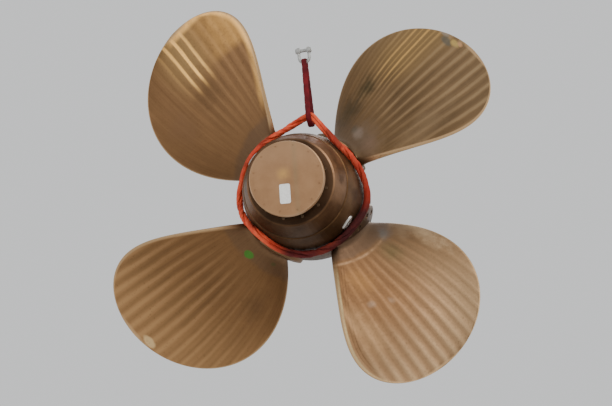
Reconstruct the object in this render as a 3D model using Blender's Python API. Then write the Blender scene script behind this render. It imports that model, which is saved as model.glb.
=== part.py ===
"""A four-bladed controllable-pitch ship propeller, left-handed, with its lifting sling.

Metres. +Y points forward along the shaft, +Z up and +X to starboard. The origin is the centre of the
flange face at the forward end, where the tail shaft bolts on. Each blade turns about its own
spindle axis, which is radial and lies in the plane y = -SPINDLE_SETBACK.
"""
import math

import bmesh
import bpy
from mathutils import Matrix

# Overall layout
BLADES = 4
FIRST_BLADE_ANGLE = math.radians(50.7)   # from +X towards +Z, seen from aft
SPINDLE_SETBACK = 0.600                  # flange face to the plane of the spindle axes
SEAT = 0.0003                            # gap between pieces that touch
BELT_SEAT = 0.0018                       # the same under a fabric belt on a faceted hub
TURN_STEPS = 64                          # facets round a big turned piece
PORT_STEPS = 48                          # facets round a port, a ring or a palm

# Hub body: a barrel, thickest a little aft of the spindle plane
HUB_RADIUS = 0.512
HUB_CREST_AFT = 0.050                    # from the spindle plane aft to the thickest place
HUB_CROWN_RADIUS = 1.580                 # of the barrel's curve, taken lengthwise
HUB_FORWARD = 0.480                      # from the spindle plane forward to the flange
HUB_AFT = 0.585                          # from the spindle plane aft to the cap
HUB_EDGE = 0.012
PORT_RADIUS = 0.267
PORT_DEPTH = 0.095                       # from the hub's thickest radius to a port's flat floor
PORT_RING_WALL = 0.012

# Shaft flange
FLANGE_RADIUS = 0.400
FLANGE_EDGE = 0.010

# Hub cap, its neck and the end cover
CAP_STEP = 0.005                         # how far the cap stands inside the hub body's barrel
CAP_LENGTH = 0.180                       # from the hub body to the aft face of the nose
CAP_EDGE = 0.010
NECK_RADIUS = 0.250
NECK_LENGTH = 0.105
COVER_RADIUS = 0.295
COVER_THICKNESS = 0.055
COVER_EDGE = 0.008

# Oval plugs let into the hub body, aft of each port
PLUG_AFT = 0.402                         # from the spindle plane aft to their middle
PLUG_HALF_LENGTH = 0.062                 # round the hub
PLUG_HALF_WIDTH = 0.026                  # along the hub
PLUG_POCKET_GAP = 0.001
PLUG_POCKET_DEPTH = 0.024
PLUG_PROUD = 0.012
PLUG_EDGE = 0.004
SOCKET_RADIUS = 0.015                    # the blind hole in the middle of a plug
SOCKET_DEPTH = 0.016
PLUG_STEPS = 32

# Blade
TIP_RADIUS = 1.800
PALM_GAP = 0.0065                        # running gap between a palm and its ring
PALM_PROUD = 0.030                       # how far the palm stands over the hub body
PALM_EDGE = 0.010
ROOT_LIFT = 0.013                        # root section over the hub's thickest radius
ROOT_CHORD = 0.495
OUTER_CHORD_LENGTH = 1.458               # what the chord gains towards the tip, before the tip is rounded
CHORD_POWER = 0.828
TIP_POWER = 3.6                          # how round the tip is
ROOT_OFFSET = 0.105                      # mid-chord, towards the trailing side
TIP_SKEW = 0.433                         # further offset of the mid-chord at the tip
ROOT_PITCH = 3.114
TIP_PITCH = 4.030
MID_RAKE = 0.222                         # straight part of the rake
TIP_RAKE = 0.112                         # what the rake loses again by the tip
ROOT_THICKNESS = 0.161
TIP_THICKNESS = 0.014
THICKNESS_POWER = 1.1
THICKEST_SHARE = 0.30                    # a section is no thicker than this share of its chord
CAMBER_SHARE = 0.022
ROOT_FILLET = 0.065
SECTIONS = 16
SECTION_STEPS = 12

# Sling belt, leg and shackle
BELT_WIDTH = 0.070
BELT_THICKNESS = 0.058
BELT_AFT = 0.345                         # from the spindle plane aft to the middle of the belt
BELT_DIP = 0.095                         # how far the belt slips forward between two blades
BELT_DIP_ANGLE = math.radians(-12.0)     # where it does, from +X towards +Z, and on the other side
BELT_DIP_SPREAD = math.radians(19.0)
BELT_RISE = 0.160                        # how far a blade's trailing corner holds it aft
BELT_RISE_ANGLE = math.radians(44.0)
BELT_RISE_SPREAD = math.radians(27.0)
CHOKE_AFT = 0.420                        # from the spindle plane aft to the choke
CHOKE_SIDE = math.radians(12.5)          # how far the choke lies from the top, towards +X
CHOKE_RISE = 0.062                       # hub's thickest radius to the middle of the turn at the choke
CHOKE_RADIUS = 0.040
LEG_WIDTH = 0.044
LEG_THICKNESS = 0.012
LEG_SLACK = 0.0145                       # room in the leg's loop for the slanting belt
LEG_LENGTH = 0.450                       # middle of the choke to middle of the shackle's bow bar
LEG_LEAN = math.radians(-1.5)
BAR_RADIUS = 0.012
BOW_RADIUS = 0.042
BOW_LEG = 0.060
EYE_RADIUS = 0.027
EYE_LENGTH = 0.029
PIN_RADIUS = 0.0140
PIN_HEAD_RADIUS = 0.021
PIN_HEAD_LENGTH = 0.010
STRAND_STEPS = 32
SHACKLE_STEPS = 24


def clear_scene():
    for item in list(bpy.data.objects):
        bpy.data.objects.remove(item, do_unlink=True)


def finish(name, color, roughness, metallic):
    """A Principled material; color is linear RGB."""
    material = bpy.data.materials.new(name)
    material.use_nodes = True
    shader = material.node_tree.nodes["Principled BSDF"]
    shader.inputs["Base Color"].default_value = (*color, 1.0)
    shader.inputs["Roughness"].default_value = roughness
    shader.inputs["Metallic"].default_value = metallic
    return material


def mesh_from(bm, name):
    """Turn the faces outwards, write the mesh and shade its round parts smooth."""
    bmesh.ops.recalc_face_normals(bm, faces=bm.faces)
    mesh = bpy.data.meshes.new(name)
    bm.to_mesh(mesh)
    bm.free()
    smooth_round_parts(mesh)
    return mesh


def smooth_round_parts(mesh):
    mesh.shade_smooth()
    mesh.set_sharp_from_angle(angle=math.radians(30))


def add(name, mesh, material=None, parent=None):
    item = bpy.data.objects.new(name, mesh)
    bpy.context.scene.collection.objects.link(item)
    if material:
        item.data.materials.clear()
        item.data.materials.append(material)
    item.parent = parent
    return item


def hide_as_cutter(item):
    item.hide_render = True
    item.display_type = 'WIRE'
    return item


def cut(item, cutter, operation='DIFFERENCE'):
    boolean = item.modifiers.new(cutter.name, 'BOOLEAN')
    boolean.operation = operation
    boolean.solver = 'EXACT'
    boolean.object = cutter


def evaluated_copy(item, name):
    """The shape that an object's modifiers give, as a mesh of its own."""
    graph = bpy.context.evaluated_depsgraph_get()
    mesh = bpy.data.meshes.new_from_object(item.evaluated_get(graph))
    mesh.name = name
    smooth_round_parts(mesh)
    return mesh


def remove(*items):
    for item in items:
        bpy.data.objects.remove(item, do_unlink=True)


def turned(name, profile, material, steps=TURN_STEPS):
    """Turn (radius, y) points round the shaft axis; they run from the forward end to the aft end."""
    mesh = bpy.data.meshes.new(name)
    edges = [(i, i + 1) for i in range(len(profile) - 1)]
    mesh.from_pydata([(radius, 0.0, y) for radius, y in profile], edges, [])
    item = add(name, mesh, material)
    item.rotation_euler = (math.radians(-90), 0.0, 0.0)
    screw = item.modifiers.new("turn", 'SCREW')
    screw.steps = steps
    screw.render_steps = steps
    screw.use_merge_vertices = True
    screw.merge_threshold = 0.00001
    screw.use_smooth_shade = True
    return item


def spoke(name, station, angle):
    """An empty on the shaft axis whose +Z points radially outwards and whose +Y points forward."""
    empty = bpy.data.objects.new(name, None)
    bpy.context.scene.collection.objects.link(empty)
    empty.location = (0.0, -station, 0.0)
    empty.rotation_euler = (0.0, math.radians(90) - angle, 0.0)
    return empty


def blade_angles():
    return [FIRST_BLADE_ANGLE + i * math.tau / BLADES for i in range(BLADES)]


def rod(radius, low, high, steps, stretch=1.0):
    """A closed cylinder along Z between two heights, or an oval one, stretched along X."""
    bm = bmesh.new()
    bmesh.ops.create_cone(bm, cap_ends=True, segments=steps, radius1=radius, radius2=radius,
                          depth=high - low, matrix=Matrix.Translation((0.0, 0.0, (low + high) / 2)))
    bmesh.ops.scale(bm, verts=bm.verts, vec=(stretch, 1.0, 1.0))
    return bm


def radial_cutters(name, radius, low, steps, aft, stretch=1.0):
    """Cylinders that point outwards at every blade's angle, as one hidden cutter."""
    joined = bmesh.new()
    for angle in blade_angles():
        bm = rod(radius, low, 2 * HUB_RADIUS, steps, stretch)
        bmesh.ops.rotate(bm, verts=bm.verts, matrix=Matrix.Rotation(math.radians(90) - angle, 3, 'Y'))
        bmesh.ops.translate(bm, verts=bm.verts, vec=(0.0, -SPINDLE_SETBACK - aft, 0.0))
        piece = mesh_from(bm, name)
        joined.from_mesh(piece)
        bpy.data.meshes.remove(piece)
    return hide_as_cutter(add(name, mesh_from(joined, name)))


def barrel(aft):
    """Radius of the hub this far aft of the spindle plane."""
    return HUB_RADIUS - (aft - HUB_CREST_AFT) ** 2 / (2 * HUB_CROWN_RADIUS)


def barrel_side(start, end, count, inset=0.0):
    """Profile points down the side of the barrel between two stations aft of the spindle plane."""
    stations = [start + (end - start) * i / count for i in range(count + 1)]
    return [(barrel(aft) - inset, -SPINDLE_SETBACK - aft) for aft in stations]


# Stations measured from the flange face, positive aft
HUB_START = SPINDLE_SETBACK - HUB_FORWARD
HUB_END = SPINDLE_SETBACK + HUB_AFT
CAP_START = HUB_END + SEAT
CAP_NOSE = CAP_START + CAP_LENGTH
NECK_END = CAP_NOSE + NECK_LENGTH
COVER_START = NECK_END + SEAT
PORT_FLOOR = HUB_RADIUS - PORT_DEPTH
PALM_RADIUS = PORT_RADIUS - SEAT - PORT_RING_WALL - PALM_GAP
ROOT_RADIUS = HUB_RADIUS + ROOT_LIFT
PLUG_TOP = barrel(PLUG_AFT) + PLUG_PROUD
PLUG_FLOOR = barrel(PLUG_AFT) - PLUG_POCKET_DEPTH
PLUG_STRETCH = PLUG_HALF_LENGTH / PLUG_HALF_WIDTH
CHOKE_HEIGHT = HUB_RADIUS + CHOKE_RISE


def make_shaft_flange():
    steel = finish("flange_steel", (0.19, 0.17, 0.15), 0.42, 0.9)
    aft = HUB_START - SEAT
    turned("shaft_flange", [
        (0.0, 0.0),
        (FLANGE_RADIUS - FLANGE_EDGE, 0.0),
        (FLANGE_RADIUS, -FLANGE_EDGE),
        (FLANGE_RADIUS, -aft + FLANGE_EDGE),
        (FLANGE_RADIUS - FLANGE_EDGE, -aft),
        (0.0, -aft),
    ], steel)


def make_hub_body():
    bronze = finish("hub_bronze", (0.11, 0.055, 0.028), 0.5, 0.75)
    hub = turned("hub_body", [
        (0.0, -HUB_START),
        (barrel(-HUB_FORWARD) - HUB_EDGE, -HUB_START),
        *barrel_side(-HUB_FORWARD + HUB_EDGE, HUB_AFT - HUB_EDGE / 2, 10),
        (barrel(HUB_AFT) - HUB_EDGE / 2, -HUB_END),
        (0.0, -HUB_END),
    ], bronze)
    cut(hub, radial_cutters("port_cutter", PORT_RADIUS, PORT_FLOOR, PORT_STEPS, 0.0))
    cut(hub, radial_cutters("plug_cutter", PLUG_HALF_WIDTH + PLUG_POCKET_GAP, PLUG_FLOOR, PLUG_STEPS,
                            PLUG_AFT, PLUG_STRETCH))


def over_hub(aft, proud):
    """The height over the shaft axis of a face that follows the hub, as a function of x and y."""
    def height(x, y):
        radius = barrel(aft - y) + proud
        return math.sqrt(radius * radius - x * x)
    return height


def circle(radius, steps=PORT_STEPS, stretch=1.0):
    return [(stretch * radius * math.cos(math.tau * i / steps), radius * math.sin(math.tau * i / steps))
            for i in range(steps)]


def ring_of(bm, points, height):
    """A ring round a spoke; height is a number or a function of x and y."""
    return [bm.verts.new((x, y, height(x, y) if callable(height) else height)) for x, y in points]


def bridge(bm, first, second):
    count = len(first)
    for i in range(count):
        j = (i + 1) % count
        bm.faces.new((first[i], first[j], second[j], second[i]))


def make_port_rings(spokes):
    """The lining of each port: a tube whose rim follows the drum of the hub."""
    bronze = finish("ring_bronze", (0.075, 0.045, 0.028), 0.45, 0.8)
    outer = PORT_RADIUS - SEAT
    inner = outer - PORT_RING_WALL
    floor = PORT_FLOOR + SEAT
    bm = bmesh.new()
    rim = [ring_of(bm, circle(radius), over_hub(0.0, -SEAT)) for radius in (outer, inner)]
    foot = [ring_of(bm, circle(radius), floor) for radius in (outer, inner)]
    bridge(bm, rim[0], rim[1])
    bridge(bm, rim[1], foot[1])
    bridge(bm, foot[1], foot[0])
    bridge(bm, foot[0], rim[0])
    mesh = mesh_from(bm, "port_ring")
    for number, empty in enumerate(spokes, 1):
        add(f"port_ring_{number}", mesh, bronze, empty)


def crowned_disc(name, radius, floor, top, low, edge, steps, stretch=1.0):
    """A flat-bottomed disc or oval whose bevelled top follows the hub, from height low to height top."""
    bm = bmesh.new()
    foot = ring_of(bm, circle(radius, steps, stretch), floor)
    bm.faces.new(foot)
    side = ring_of(bm, circle(radius, steps, stretch), low)
    bridge(bm, foot, side)
    outer = side
    inside = radius - edge
    for share in (1.0, 0.75, 0.5, 0.25):
        inner = ring_of(bm, circle(inside * share, steps, stretch), top)
        bridge(bm, outer, inner)
        outer = inner
    centre = bm.verts.new((0.0, 0.0, top(0.0, 0.0)))
    for i, vert in enumerate(outer):
        bm.faces.new((vert, outer[(i + 1) % len(outer)], centre))
    return mesh_from(bm, name)


def palm():
    """The blade's round foot."""
    return crowned_disc("palm", PALM_RADIUS, PORT_FLOOR + SEAT, over_hub(0.0, PALM_PROUD),
                        over_hub(0.0, PALM_PROUD - PALM_EDGE), PALM_EDGE, PORT_STEPS)


def chord(t):
    return math.sqrt(max(0.0, 1.0 - t ** TIP_POWER)) * (ROOT_CHORD + OUTER_CHORD_LENGTH * t ** CHORD_POWER)


def thickness(t):
    plain = TIP_THICKNESS + (ROOT_THICKNESS - TIP_THICKNESS) * (1.0 - t) ** THICKNESS_POWER
    return min(plain, THICKEST_SHARE * chord(t))


def root_flare(height):
    """How far the root fillet thickens a section on each side, this far above the root."""
    rest = max(0.0, ROOT_FILLET - height)
    return ROOT_FILLET - math.sqrt(ROOT_FILLET ** 2 - rest ** 2)


def section_point(t, along, side):
    """A point of the blade: along runs 0 at the trailing edge to 1 at the leading edge,
    side is -1 on the face, which looks aft, and +1 on the back."""
    radius = ROOT_RADIUS + (TIP_RADIUS - ROOT_RADIUS) * t
    pitch = ROOT_PITCH + (TIP_PITCH - ROOT_PITCH) * t
    beta = math.atan(pitch / (math.tau * radius))
    full = chord(t)
    u = full * (along - 0.5) - ROOT_OFFSET - TIP_SKEW * t * t
    swell = 2.0 * math.sqrt(max(0.0, along * (1.0 - along)))
    half = (thickness(t) / 2 + root_flare(radius - ROOT_RADIUS)) * swell
    lift = CAMBER_SHARE * full * 4.0 * along * (1.0 - along) + side * half
    across = u * math.cos(beta) - lift * math.sin(beta)
    forward = u * math.sin(beta) + lift * math.cos(beta) - (MID_RAKE * t - TIP_RAKE * t * t)
    angle = across / radius
    return (-radius * math.sin(angle), forward, radius * math.cos(angle))


def section(bm, t):
    """A closed ring of points: along the face from trailing to leading edge, back along the back."""
    there = [(1.0 - math.cos(math.pi * i / SECTION_STEPS)) / 2 for i in range(SECTION_STEPS + 1)]
    face = [bm.verts.new(section_point(t, along, -1)) for along in there]
    back = [bm.verts.new(section_point(t, along, 1)) for along in reversed(there[1:-1])]
    return face + back


def section_places():
    """Shares of the span, close together in the root fillet and towards the tip."""
    span = TIP_RADIUS - ROOT_RADIUS
    fillet = [ROOT_FILLET * share / span for share in (0.0, 0.12, 0.3, 0.6)]
    start = ROOT_FILLET / span
    rest = [start + (1.0 - start) * math.sin(math.pi / 2 * i / SECTIONS) for i in range(SECTIONS)]
    return fillet + rest


def aerofoil():
    bm = bmesh.new()
    rings = [section(bm, t) for t in section_places()]
    for inner, outer in zip(rings, rings[1:]):
        bridge(bm, inner, outer)
    tip = bm.verts.new(section_point(1.0, 0.5, 0))
    last = rings[-1]
    for i, vert in enumerate(last):
        bm.faces.new((vert, last[(i + 1) % len(last)], tip))
    root = rings[0]
    count = len(root)
    bm.faces.new((root[0], root[1], root[-1]))
    for i in range(1, count // 2 - 1):
        bm.faces.new((root[i], root[i + 1], root[count - i - 1], root[count - i]))
    middle = count // 2
    bm.faces.new((root[middle - 1], root[middle], root[middle + 1]))
    return mesh_from(bm, "aerofoil")


def make_blades(spokes):
    bronze = finish("blade_bronze", (0.33, 0.19, 0.085), 0.42, 0.7)
    foot = add("palm", palm())
    wing = hide_as_cutter(add("aerofoil", aerofoil()))
    cut(foot, wing, 'UNION')
    casting = evaluated_copy(foot, "blade")
    remove(foot, wing)
    for number, empty in enumerate(spokes, 1):
        add(f"blade_{number}", casting, bronze, empty)


def make_hub_cap():
    bronze = finish("cap_bronze", (0.16, 0.085, 0.045), 0.48, 0.75)
    start = CAP_START - SPINDLE_SETBACK
    nose = CAP_NOSE - SPINDLE_SETBACK
    turned("hub_cap", [
        (0.0, -CAP_START),
        (barrel(start) - CAP_STEP - CAP_EDGE / 2, -CAP_START),
        *barrel_side(start + CAP_EDGE / 2, nose - CAP_EDGE, 4, CAP_STEP),
        (barrel(nose) - CAP_STEP - CAP_EDGE, -CAP_NOSE),
        (NECK_RADIUS, -CAP_NOSE),
        (NECK_RADIUS, -NECK_END),
        (0.0, -NECK_END),
    ], bronze)


def make_end_cover():
    pale = finish("cover_bronze", (0.45, 0.29, 0.18), 0.4, 0.6)
    aft = COVER_START + COVER_THICKNESS
    turned("end_cover", [
        (0.0, -COVER_START),
        (COVER_RADIUS - COVER_EDGE, -COVER_START),
        (COVER_RADIUS, -COVER_START - COVER_EDGE),
        (COVER_RADIUS, -aft + COVER_EDGE),
        (COVER_RADIUS - COVER_EDGE, -aft),
        (0.0, -aft),
    ], pale)


def make_plugs():
    steel = finish("plug_steel", (0.55, 0.53, 0.5), 0.3, 0.9)
    oval = crowned_disc("plug", PLUG_HALF_WIDTH, PLUG_FLOOR + SEAT, over_hub(PLUG_AFT, PLUG_PROUD),
                        over_hub(PLUG_AFT, PLUG_PROUD - PLUG_EDGE), PLUG_EDGE, PLUG_STEPS, PLUG_STRETCH)
    solid = add("plug", oval)
    hole = rod(SOCKET_RADIUS, PLUG_TOP - SOCKET_DEPTH, 2 * HUB_RADIUS, PLUG_STEPS)
    socket = hide_as_cutter(add("socket", mesh_from(hole, "socket")))
    cut(solid, socket)
    mesh = evaluated_copy(solid, "hub_plug")
    remove(solid, socket)
    station = SPINDLE_SETBACK + PLUG_AFT
    for number, angle in enumerate(blade_angles(), 1):
        add(f"hub_plug_{number}", mesh, steel, spoke(f"plug_place_{number}", station, angle))


def pulley_lean(big, small, distance):
    """Angle from straight up to where the belt leaves either pulley."""
    return math.acos((big - small) / distance)


def pulley_path(big, small, distance, steps):
    """A belt round two pulleys: the big one at (0, 0), the small one straight above it."""
    lean = pulley_lean(big, small, distance)
    low = math.pi / 2 + lean
    sweep_low = math.tau - 2 * lean
    points = []
    for i in range(steps + 1):
        angle = low + sweep_low * i / steps
        points.append((big * math.cos(angle), big * math.sin(angle)))
    turns = max(6, steps // 5)
    for i in range(turns + 1):
        angle = math.pi / 2 - lean + 2 * lean * i / turns
        points.append((small * math.cos(angle), distance + small * math.sin(angle)))
    return points


def strip(name, loops):
    """A closed band between four closed loops of points, each joined to the next."""
    bm = bmesh.new()
    rings = [[bm.verts.new(point) for point in loop] for loop in loops]
    for i in range(4):
        bridge(bm, rings[i], rings[(i + 1) % 4])
    return mesh_from(bm, name)


def swell_at(angle, centre, spread):
    """A smooth rise to 1 at the centre angle, and another on the far side of the shaft."""
    off = (angle - centre + math.pi / 2) % math.pi - math.pi / 2
    return math.exp(-(off / spread) ** 2)


def belt_station(angle):
    """How far aft of the spindle plane the middle of the belt lies, at an angle from +X towards +Z."""
    rise = BELT_RISE * swell_at(angle, BELT_RISE_ANGLE, BELT_RISE_SPREAD)
    dip = BELT_DIP * swell_at(angle, BELT_DIP_ANGLE, BELT_DIP_SPREAD)
    return BELT_AFT + rise - dip


def choke_turn(layer):
    """Radius of the turn at the choke; layer is 0 for the belt's inner face and 1 for its outer face."""
    return CHOKE_RADIUS + (layer - 0.5) * BELT_THICKNESS


def choke_lean(side, layer):
    """Angle from the choke's direction to where the belt leaves the hub; side is -1 forward, 1 aft."""
    big = barrel(BELT_AFT + side * BELT_WIDTH / 2) + BELT_SEAT + layer * BELT_THICKNESS
    return pulley_lean(big, choke_turn(layer), CHOKE_HEIGHT)


def belt_path(side, layer):
    """One edge of the belt: round the hub, up to the choke, over it and down again."""
    lean = choke_lean(side, layer)
    points = []
    for i in range(TURN_STEPS + 1):
        angle = math.pi / 2 + lean + (math.tau - 2 * lean) * i / TURN_STEPS
        aft = belt_station(angle - CHOKE_SIDE) + side * BELT_WIDTH / 2
        radius = barrel(aft) + BELT_SEAT + layer * BELT_THICKNESS
        points.append((radius * math.cos(angle), -aft, radius * math.sin(angle)))
    small = choke_turn(layer)
    turns = TURN_STEPS // 5
    for i in range(turns + 1):
        angle = math.pi / 2 - lean + 2 * lean * i / turns
        points.append((small * math.cos(angle), -CHOKE_AFT - side * BELT_WIDTH / 2,
                       CHOKE_HEIGHT + small * math.sin(angle)))
    return points


def make_sling_belt():
    orange = finish("sling_orange", (0.66, 0.10, 0.045), 0.85, 0.0)
    loops = [belt_path(side, layer) for side, layer in ((-1, 0), (-1, 1), (1, 1), (1, 0))]
    belt = add("sling_belt", strip("sling_belt", loops), orange)
    belt.location = (0.0, -SPINDLE_SETBACK, 0.0)
    belt.rotation_euler = (0.0, CHOKE_SIDE, 0.0)


def belt_depth(x):
    """How far the belt's inner face lies under its middle at the choke, x metres to the side of the leg,
    where the belt's steeper run leaves it."""
    tilt = CHOKE_SIDE - LEG_LEAN
    slope = choke_lean(-1, 0) + tilt
    beside = x + CHOKE_RADIUS * math.sin(tilt)
    return CHOKE_RADIUS * math.cos(tilt) - (choke_turn(0) - beside * math.sin(slope)) / math.cos(slope)


def sling_leg_frame():
    """An empty at the middle of the choke, leaning with the leg that rises from it."""
    empty = bpy.data.objects.new("leg_frame", None)
    bpy.context.scene.collection.objects.link(empty)
    reach = CHOKE_HEIGHT + CHOKE_RADIUS
    empty.location = (reach * math.sin(CHOKE_SIDE), -SPINDLE_SETBACK - CHOKE_AFT,
                      reach * math.cos(CHOKE_SIDE))
    empty.rotation_euler = (0.0, LEG_LEAN, 0.0)
    return empty


def make_sling_leg(frame):
    """An endless strand: round the belt at the choke, and round the shackle's bow at the top."""
    red = finish("sling_red", (0.42, 0.045, 0.035), 0.85, 0.0)
    half = LEG_WIDTH / 2
    low = math.hypot(BELT_WIDTH / 2, belt_depth(half)) + LEG_SLACK
    inside_bow = BOW_RADIUS - BAR_RADIUS
    high = BOW_RADIUS - math.sqrt(inside_bow ** 2 - half ** 2) + 2 * SEAT
    inner = pulley_path(low, high, LEG_LENGTH, STRAND_STEPS)
    outer = pulley_path(low + LEG_THICKNESS, high + LEG_THICKNESS, LEG_LENGTH, STRAND_STEPS)
    loops = [[(x, side * half, z) for x, z in path]
             for path, side in ((inner, -1), (outer, -1), (outer, 1), (inner, 1))]
    leg = add("sling_leg", strip("sling_leg", loops), red, frame)
    leg.rotation_euler = (0.0, 0.0, math.radians(90))


def bow_bar():
    """The bent bar of the shackle: a half circle below, a straight leg up each side."""
    curve = bpy.data.curves.new("bow_bar", 'CURVE')
    curve.dimensions = '3D'
    curve.bevel_depth = BAR_RADIUS
    curve.bevel_resolution = 2
    curve.use_fill_caps = True
    turn = [(-BOW_RADIUS * math.cos(math.pi * i / 16), -BOW_RADIUS * math.sin(math.pi * i / 16))
            for i in range(17)]
    points = [(-BOW_RADIUS, BOW_LEG), *turn, (BOW_RADIUS, BOW_LEG)]
    spline = curve.splines.new('POLY')
    spline.points.add(len(points) - 1)
    for point, (x, z) in zip(spline.points, points):
        point.co = (x, 0.0, z, 1.0)
    return curve


def lying_rod(radius, low, high):
    """A closed cylinder along X."""
    bm = rod(radius, low, high, SHACKLE_STEPS)
    bmesh.ops.rotate(bm, verts=bm.verts, matrix=Matrix.Rotation(math.radians(90), 3, 'Y'))
    return bm


def eyes():
    joined = bmesh.new()
    for side in (-1, 1):
        bm = lying_rod(EYE_RADIUS, -EYE_LENGTH / 2, EYE_LENGTH / 2)
        bmesh.ops.translate(bm, verts=bm.verts, vec=(side * BOW_RADIUS, 0.0, BOW_LEG))
        piece = mesh_from(bm, "eye")
        joined.from_mesh(piece)
        bpy.data.meshes.remove(piece)
    return mesh_from(joined, "eyes")


def make_shackle(frame):
    zinc = finish("shackle_zinc", (0.42, 0.42, 0.41), 0.5, 0.7)
    reach = BOW_RADIUS + EYE_LENGTH / 2
    bar = add("bow_bar", bow_bar())
    solid_bar = add("solid_bar", evaluated_copy(bar, "solid_bar"))
    eye_pair = hide_as_cutter(add("eye_pair", eyes()))
    bore = lying_rod(PIN_RADIUS + SEAT, -2 * reach, 2 * reach)
    bmesh.ops.translate(bore, verts=bore.verts, vec=(0.0, 0.0, BOW_LEG))
    bore_cutter = hide_as_cutter(add("pin_bore", mesh_from(bore, "pin_bore")))
    cut(solid_bar, eye_pair, 'UNION')
    cut(solid_bar, bore_cutter)
    bow = add("shackle_bow", evaluated_copy(solid_bar, "shackle_bow"), zinc, frame)
    remove(bar, solid_bar, eye_pair, bore_cutter)
    bow.location = (0.0, 0.0, LEG_LENGTH + BOW_RADIUS)
    make_shackle_pin(frame, reach)


def make_shackle_pin(frame, reach):
    """The pin with a round head at one end and a nut at the other, outside the two eyes."""
    zinc = finish("pin_zinc", (0.36, 0.36, 0.35), 0.45, 0.8)
    end = reach + SEAT
    tip = end + PIN_HEAD_LENGTH
    profile = [(0.0, tip), (PIN_HEAD_RADIUS, tip), (PIN_HEAD_RADIUS, end), (PIN_RADIUS, end),
               (PIN_RADIUS, -end), (PIN_HEAD_RADIUS, -end), (PIN_HEAD_RADIUS, -tip), (0.0, -tip)]
    pin = turned("shackle_pin", profile, zinc, SHACKLE_STEPS)
    pin.parent = frame
    pin.rotation_euler = (0.0, math.radians(90), 0.0)
    pin.location = (0.0, 0.0, LEG_LENGTH + BOW_RADIUS + BOW_LEG)


clear_scene()
blade_spokes = [spoke(f"spindle_{i}", SPINDLE_SETBACK, a) for i, a in enumerate(blade_angles(), 1)]
make_shaft_flange()
make_hub_body()
make_port_rings(blade_spokes)
make_blades(blade_spokes)
make_hub_cap()
make_end_cover()
make_plugs()
make_sling_belt()
leg_frame = sling_leg_frame()
make_sling_leg(leg_frame)
make_shackle(leg_frame)
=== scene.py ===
"""The looks of a four-bladed controllable-pitch ship propeller with the sling that holds it.

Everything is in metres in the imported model's frame: the origin is the centre of the flange face at the
forward end, +Y points forward along the shaft, +Z up and +X to the right as seen from aft.
"""
from math import acos, atan, copysign, cos, exp, hypot, pi, radians, sin, sqrt, tau

import bmesh
import bpy
from mathutils import Matrix, Vector


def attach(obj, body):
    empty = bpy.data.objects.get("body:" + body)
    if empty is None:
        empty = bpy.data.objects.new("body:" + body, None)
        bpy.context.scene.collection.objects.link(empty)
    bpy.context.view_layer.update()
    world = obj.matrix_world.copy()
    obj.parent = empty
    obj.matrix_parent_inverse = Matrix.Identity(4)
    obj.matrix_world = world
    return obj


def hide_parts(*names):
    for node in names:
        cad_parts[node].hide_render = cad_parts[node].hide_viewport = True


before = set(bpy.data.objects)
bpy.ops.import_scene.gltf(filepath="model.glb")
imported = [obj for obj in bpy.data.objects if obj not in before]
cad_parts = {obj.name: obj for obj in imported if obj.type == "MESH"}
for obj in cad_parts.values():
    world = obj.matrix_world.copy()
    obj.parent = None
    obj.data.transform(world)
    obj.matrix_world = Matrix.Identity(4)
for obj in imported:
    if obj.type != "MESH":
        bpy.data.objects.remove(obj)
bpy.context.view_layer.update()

# The studio: a plain pale floor well under the lowest blade tip, a pale surround, one big soft light
# from the right and above as the daylight falls in the photograph, and weaker ones to fill the shade.
# The camera has the photograph's viewing angle, from aft, low and to the right, looking up.
FLOOR_HEIGHT = -3.57
FLOOR_REACH = 60.0
CAMERA_PLACE = (1.791, -10.682, -1.968)
CAMERA_YAW = radians(10.227)
CAMERA_PITCH = radians(10.705)
CAMERA_ROLL = radians(-4.138)
CAMERA_LENS = 73.5


def put(name, data):
    """A new object in the scene, made of this mesh, light or camera."""
    item = bpy.data.objects.new(name, data)
    bpy.context.scene.collection.objects.link(item)
    return item


def soft_light(name, place, aim, size, power, tint):
    lamp = bpy.data.lights.new(name, 'AREA')
    lamp.shape = 'SQUARE'
    lamp.size = size
    lamp.energy = power
    lamp.color = tint
    item = put(name, lamp)
    item.location = place
    item.rotation_euler = (Vector(aim) - Vector(place)).to_track_quat('-Z', 'Y').to_euler()


floor_mesh = bpy.data.meshes.new("studio_floor")
square = ((-1, -1), (1, -1), (1, 1), (-1, 1))
corners = [(x * FLOOR_REACH, y * FLOOR_REACH, FLOOR_HEIGHT) for x, y in square]
floor_mesh.from_pydata(corners, [], [(0, 1, 2, 3)])
studio_floor = put("studio_floor", floor_mesh)
floor_paint = bpy.data.materials.new("studio_floor")
floor_paint.use_nodes = True
floor_shader = floor_paint.node_tree.nodes["Principled BSDF"]
floor_shader.inputs["Base Color"].default_value = (0.8, 0.8, 0.79, 1.0)
floor_shader.inputs["Roughness"].default_value = 0.9
floor_mesh.materials.append(floor_paint)

surround = bpy.data.worlds.new("studio_surround")
bpy.context.scene.world = surround
surround.use_nodes = True
surround.node_tree.nodes["Background"].inputs["Color"].default_value = (0.8, 0.81, 0.82, 1.0)
surround.node_tree.nodes["Background"].inputs["Strength"].default_value = 1.0

soft_light("key_light", (6.5, -7.5, 6.0), (0.2, -0.6, -0.2), 5.0, 620.0, (1.0, 0.97, 0.92))
soft_light("left_light", (-8.0, -5.5, 1.0), (0.0, -0.6, 0.0), 5.0, 160.0, (0.94, 0.97, 1.0))
soft_light("back_light", (2.0, 8.0, 5.0), (0.0, -0.6, 0.0), 6.0, 350.0, (1.0, 1.0, 1.0))

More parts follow.
